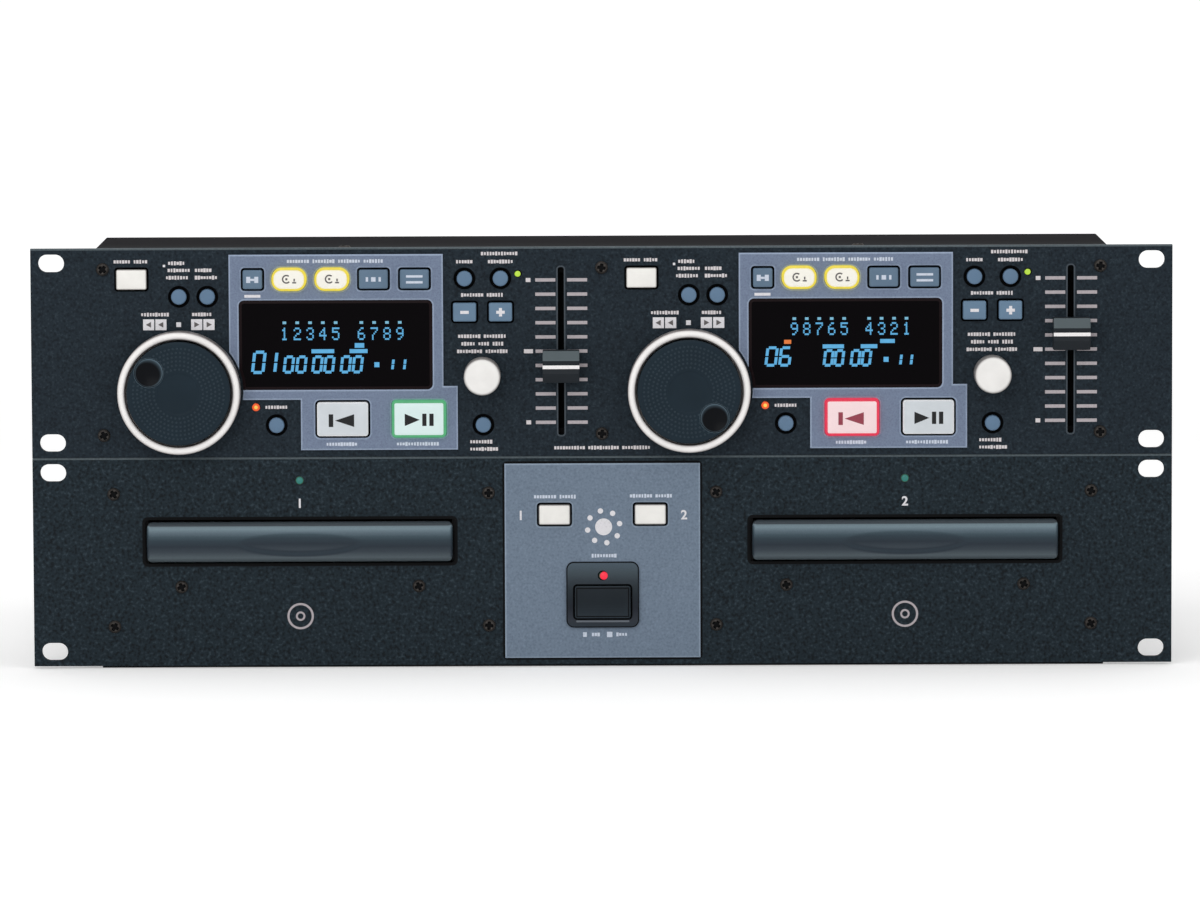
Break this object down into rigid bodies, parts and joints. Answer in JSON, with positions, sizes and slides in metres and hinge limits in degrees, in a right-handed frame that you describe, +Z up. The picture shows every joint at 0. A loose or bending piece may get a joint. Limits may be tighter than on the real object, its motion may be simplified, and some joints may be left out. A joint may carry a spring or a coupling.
{
  "type": "dual disc player",
  "caption": "Rack-mounted dual disc player: a control unit with two jog wheels, displays, keys and tempo sliders above a drive unit with sliding disc trays.",
  "frame": {"origin": "middle of the drive unit's underside, under the middle of the whole object", "axes": "+X to the right as seen from the front, +Y to the back, +Z up"},
  "size_m": [0.4826, 0.273, 0.1788],
  "materials": {
    "textured_panel_paint": "fine textured paint",
    "speckled_panel_paint": "speckled paint",
    "blue_grey_plate": "satin",
    "display_window": "gloss",
    "board_laminate": "satin",
    "casing_paint": "fine matt paint",
    "black_bezel": "gloss",
    "black_moulding": "matt",
    "dark_screw": "blackened",
    "white_key": "satin",
    "blue_grey_key": "satin",
    "white_ring": "satin",
    "dark_disc": "satin",
    "white_knob": "satin",
    "slider_cap": "satin",
    "tray_moulding": "satin",
    "gear_moulding": "satin",
    "power_cap": "gloss"
  },
  "bodies": {
    "chassis": {"control_panel": "textured_panel_paint", "control_plates": "blue_grey_plate", "display_windows": "display_window", "control_board": "board_laminate", "control_case": "casing_paint", "drive_panel": "speckled_panel_paint", "drive_plate": "blue_grey_plate", "switch_bezel": "black_bezel", "drive_board": "board_laminate", "drive_case": "casing_paint", "drive_cover": "casing_paint", "loader_frames": "black_moulding", "panel_screws": "dark_screw"},
    "open_key_1": {"open_key_1": "white_key"},
    "time_key_1": {"time_key_1": "blue_grey_key"},
    "title_key_1": {"title_key_1": "blue_grey_key"},
    "memory_key_1": {"memory_key_1": "white_key"},
    "point_a_key_1": {"point_a_key_1": "white_key"},
    "point_b_key_1": {"point_b_key_1": "white_key"},
    "loop_key_1": {"loop_key_1": "white_key"},
    "exit_key_1": {"exit_key_1": "white_key"},
    "mode_key_1": {"mode_key_1": "blue_grey_key"},
    "cue_key_1": {"cue_key_1": "white_key"},
    "play_key_1": {"play_key_1": "white_key"},
    "tempo_key_1": {"tempo_key_1": "blue_grey_key"},
    "range_key_1": {"range_key_1": "blue_grey_key"},
    "minus_key_1": {"minus_key_1": "white_key"},
    "plus_key_1": {"plus_key_1": "white_key"},
    "back_key_1": {"back_key_1": "blue_grey_key"},
    "shuttle_ring_1": {"shuttle_ring_1": "white_ring"},
    "jog_disc_1": {"jog_disc_1": "dark_disc"},
    "select_knob_1": {"select_knob_1": "white_knob"},
    "tempo_slider_1": {"tempo_slider_1": "slider_cap"},
    "open_key_2": {"open_key_2": "white_key"},
    "time_key_2": {"time_key_2": "blue_grey_key"},
    "title_key_2": {"title_key_2": "blue_grey_key"},
    "memory_key_2": {"memory_key_2": "white_key"},
    "point_a_key_2": {"point_a_key_2": "white_key"},
    "point_b_key_2": {"point_b_key_2": "white_key"},
    "loop_key_2": {"loop_key_2": "white_key"},
    "exit_key_2": {"exit_key_2": "white_key"},
    "mode_key_2": {"mode_key_2": "blue_grey_key"},
    "cue_key_2": {"cue_key_2": "white_key"},
    "play_key_2": {"play_key_2": "white_key"},
    "tempo_key_2": {"tempo_key_2": "blue_grey_key"},
    "range_key_2": {"range_key_2": "blue_grey_key"},
    "minus_key_2": {"minus_key_2": "white_key"},
    "plus_key_2": {"plus_key_2": "white_key"},
    "back_key_2": {"back_key_2": "blue_grey_key"},
    "shuttle_ring_2": {"shuttle_ring_2": "white_ring"},
    "jog_disc_2": {"jog_disc_2": "dark_disc"},
    "select_knob_2": {"select_knob_2": "white_knob"},
    "tempo_slider_2": {"tempo_slider_2": "slider_cap"},
    "disc_tray_1": {"disc_tray_1": "tray_moulding"},
    "loading_gear_1": {"loading_gear_1": "gear_moulding"},
    "tray_key_1": {"tray_key_1": "white_key"},
    "disc_tray_2": {"disc_tray_2": "tray_moulding"},
    "loading_gear_2": {"loading_gear_2": "gear_moulding"},
    "tray_key_2": {"tray_key_2": "white_key"},
    "power_button": {"power_button": "power_cap"}
  },
  "joints": [
    {"name": "open_key_1_press", "type": "slide", "parent": "chassis", "child": "open_key_1", "axis": [0, 1, 0], "range_m": [0, 0.0005], "stiffness_N_per_m": 600},
    {"name": "time_key_1_press", "type": "slide", "parent": "chassis", "child": "time_key_1", "axis": [0, 1, 0], "range_m": [0, 0.0005], "stiffness_N_per_m": 600},
    {"name": "title_key_1_press", "type": "slide", "parent": "chassis", "child": "title_key_1", "axis": [0, 1, 0], "range_m": [0, 0.0005], "stiffness_N_per_m": 600},
    {"name": "memory_key_1_press", "type": "slide", "parent": "chassis", "child": "memory_key_1", "axis": [0, 1, 0], "range_m": [0, 0.0005], "stiffness_N_per_m": 600},
    {"name": "point_a_key_1_press", "type": "slide", "parent": "chassis", "child": "point_a_key_1", "axis": [0, 1, 0], "range_m": [0, 0.0005], "stiffness_N_per_m": 600},
    {"name": "point_b_key_1_press", "type": "slide", "parent": "chassis", "child": "point_b_key_1", "axis": [0, 1, 0], "range_m": [0, 0.0005], "stiffness_N_per_m": 600},
    {"name": "loop_key_1_press", "type": "slide", "parent": "chassis", "child": "loop_key_1", "axis": [0, 1, 0], "range_m": [0, 0.0005], "stiffness_N_per_m": 600},
    {"name": "exit_key_1_press", "type": "slide", "parent": "chassis", "child": "exit_key_1", "axis": [0, 1, 0], "range_m": [0, 0.0005], "stiffness_N_per_m": 600},
    {"name": "mode_key_1_press", "type": "slide", "parent": "chassis", "child": "mode_key_1", "axis": [0, 1, 0], "range_m": [0, 0.0005], "stiffness_N_per_m": 600},
    {"name": "cue_key_1_press", "type": "slide", "parent": "chassis", "child": "cue_key_1", "axis": [0, 1, 0], "range_m": [0, 0.001], "stiffness_N_per_m": 600},
    {"name": "play_key_1_press", "type": "slide", "parent": "chassis", "child": "play_key_1", "axis": [0, 1, 0], "range_m": [0, 0.001], "stiffness_N_per_m": 600},
    {"name": "tempo_key_1_press", "type": "slide", "parent": "chassis", "child": "tempo_key_1", "axis": [0, 1, 0], "range_m": [0, 0.0005], "stiffness_N_per_m": 600},
    {"name": "range_key_1_press", "type": "slide", "parent": "chassis", "child": "range_key_1", "axis": [0, 1, 0], "range_m": [0, 0.0005], "stiffness_N_per_m": 600},
    {"name": "minus_key_1_press", "type": "slide", "parent": "chassis", "child": "minus_key_1", "axis": [0, 1, 0], "range_m": [0, 0.0005], "stiffness_N_per_m": 600},
    {"name": "plus_key_1_press", "type": "slide", "parent": "chassis", "child": "plus_key_1", "axis": [0, 1, 0], "range_m": [0, 0.0005], "stiffness_N_per_m": 600},
    {"name": "back_key_1_press", "type": "slide", "parent": "chassis", "child": "back_key_1", "axis": [0, 1, 0], "range_m": [0, 0.0005], "stiffness_N_per_m": 600},
    {"name": "shuttle_ring_1_turn", "type": "hinge", "parent": "chassis", "child": "shuttle_ring_1", "pos_m": [-0.1786, -0.1225, 0.11775], "axis": [0, 1, 0], "range_deg": [-45, 45], "stiffness_Nm_per_rad": 0.03},
    {"name": "jog_disc_1_spin", "type": "hinge", "parent": "chassis", "child": "jog_disc_1", "pos_m": [-0.1786, -0.1225, 0.11775], "axis": [0, 1, 0], "continuous": true},
    {"name": "select_knob_1_turn", "type": "hinge", "parent": "chassis", "child": "select_knob_1", "pos_m": [-0.0505, -0.1225, 0.1244], "axis": [0, 1, 0], "continuous": true},
    {"name": "tempo_slider_1_slide", "type": "slide", "parent": "chassis", "child": "tempo_slider_1", "axis": [0, 0, 1], "range_m": [-0.0242, 0.0362]},
    {"name": "open_key_2_press", "type": "slide", "parent": "chassis", "child": "open_key_2", "axis": [0, 1, 0], "range_m": [0, 0.0005], "stiffness_N_per_m": 600},
    {"name": "time_key_2_press", "type": "slide", "parent": "chassis", "child": "time_key_2", "axis": [0, 1, 0], "range_m": [0, 0.0005], "stiffness_N_per_m": 600},
    {"name": "title_key_2_press", "type": "slide", "parent": "chassis", "child": "title_key_2", "axis": [0, 1, 0], "range_m": [0, 0.0005], "stiffness_N_per_m": 600},
    {"name": "memory_key_2_press", "type": "slide", "parent": "chassis", "child": "memory_key_2", "axis": [0, 1, 0], "range_m": [0, 0.0005], "stiffness_N_per_m": 600},
    {"name": "point_a_key_2_press", "type": "slide", "parent": "chassis", "child": "point_a_key_2", "axis": [0, 1, 0], "range_m": [0, 0.0005], "stiffness_N_per_m": 600},
    {"name": "point_b_key_2_press", "type": "slide", "parent": "chassis", "child": "point_b_key_2", "axis": [0, 1, 0], "range_m": [0, 0.0005], "stiffness_N_per_m": 600},
    {"name": "loop_key_2_press", "type": "slide", "parent": "chassis", "child": "loop_key_2", "axis": [0, 1, 0], "range_m": [0, 0.0005], "stiffness_N_per_m": 600},
    {"name": "exit_key_2_press", "type": "slide", "parent": "chassis", "child": "exit_key_2", "axis": [0, 1, 0], "range_m": [0, 0.0005], "stiffness_N_per_m": 600},
    {"name": "mode_key_2_press", "type": "slide", "parent": "chassis", "child": "mode_key_2", "axis": [0, 1, 0], "range_m": [0, 0.0005], "stiffness_N_per_m": 600},
    {"name": "cue_key_2_press", "type": "slide", "parent": "chassis", "child": "cue_key_2", "axis": [0, 1, 0], "range_m": [0, 0.001], "stiffness_N_per_m": 600},
    {"name": "play_key_2_press", "type": "slide", "parent": "chassis", "child": "play_key_2", "axis": [0, 1, 0], "range_m": [0, 0.001], "stiffness_N_per_m": 600},
    {"name": "tempo_key_2_press", "type": "slide", "parent": "chassis", "child": "tempo_key_2", "axis": [0, 1, 0], "range_m": [0, 0.0005], "stiffness_N_per_m": 600},
    {"name": "range_key_2_press", "type": "slide", "parent": "chassis", "child": "range_key_2", "axis": [0, 1, 0], "range_m": [0, 0.0005], "stiffness_N_per_m": 600},
    {"name": "minus_key_2_press", "type": "slide", "parent": "chassis", "child": "minus_key_2", "axis": [0, 1, 0], "range_m": [0, 0.0005], "stiffness_N_per_m": 600},
    {"name": "plus_key_2_press", "type": "slide", "parent": "chassis", "child": "plus_key_2", "axis": [0, 1, 0], "range_m": [0, 0.0005], "stiffness_N_per_m": 600},
    {"name": "back_key_2_press", "type": "slide", "parent": "chassis", "child": "back_key_2", "axis": [0, 1, 0], "range_m": [0, 0.0005], "stiffness_N_per_m": 600},
    {"name": "shuttle_ring_2_turn", "type": "hinge", "parent": "chassis", "child": "shuttle_ring_2", "pos_m": [0.0369, -0.1225, 0.11775], "axis": [0, 1, 0], "range_deg": [-45, 45], "stiffness_Nm_per_rad": 0.03},
    {"name": "jog_disc_2_spin", "type": "hinge", "parent": "chassis", "child": "jog_disc_2", "pos_m": [0.0369, -0.1225, 0.11775], "axis": [0, 1, 0], "continuous": true},
    {"name": "select_knob_2_turn", "type": "hinge", "parent": "chassis", "child": "select_knob_2", "pos_m": [0.165, -0.1225, 0.1244], "axis": [0, 1, 0], "continuous": true},
    {"name": "tempo_slider_2_slide", "type": "slide", "parent": "chassis", "child": "tempo_slider_2", "axis": [0, 0, 1], "range_m": [-0.0372, 0.0232]},
    {"name": "disc_tray_1_slide", "type": "slide", "parent": "chassis", "child": "disc_tray_1", "axis": [0, -1, 0], "range_m": [0, 0.138]},
    {"name": "loading_gear_1_turn", "type": "hinge", "parent": "chassis", "child": "loading_gear_1", "pos_m": [-0.1692, -0.1075, 0.0456], "axis": [0, 0, 1], "range_deg": [-1, 880]},
    {"name": "tray_key_1_press", "type": "slide", "parent": "chassis", "child": "tray_key_1", "axis": [0, 1, 0], "range_m": [0, 0.0005], "stiffness_N_per_m": 600},
    {"name": "disc_tray_2_slide", "type": "slide", "parent": "chassis", "child": "disc_tray_2", "axis": [0, -1, 0], "range_m": [0, 0.138]},
    {"name": "loading_gear_2_turn", "type": "hinge", "parent": "chassis", "child": "loading_gear_2", "pos_m": [0.0872, -0.1075, 0.0456], "axis": [0, 0, 1], "range_deg": [-1, 880]},
    {"name": "tray_key_2_press", "type": "slide", "parent": "chassis", "child": "tray_key_2", "axis": [0, 1, 0], "range_m": [0, 0.0005], "stiffness_N_per_m": 600},
    {"name": "power_button_press", "type": "slide", "parent": "chassis", "child": "power_button", "axis": [0, 1, 0], "range_m": [0, 0.0035]}
  ],
  "couplings": [
    {"joint": "loading_gear_1_turn", "follows": "disc_tray_1_slide", "rad_per_m": 111.11},
    {"joint": "loading_gear_2_turn", "follows": "disc_tray_2_slide", "rad_per_m": 111.11}
  ]
}
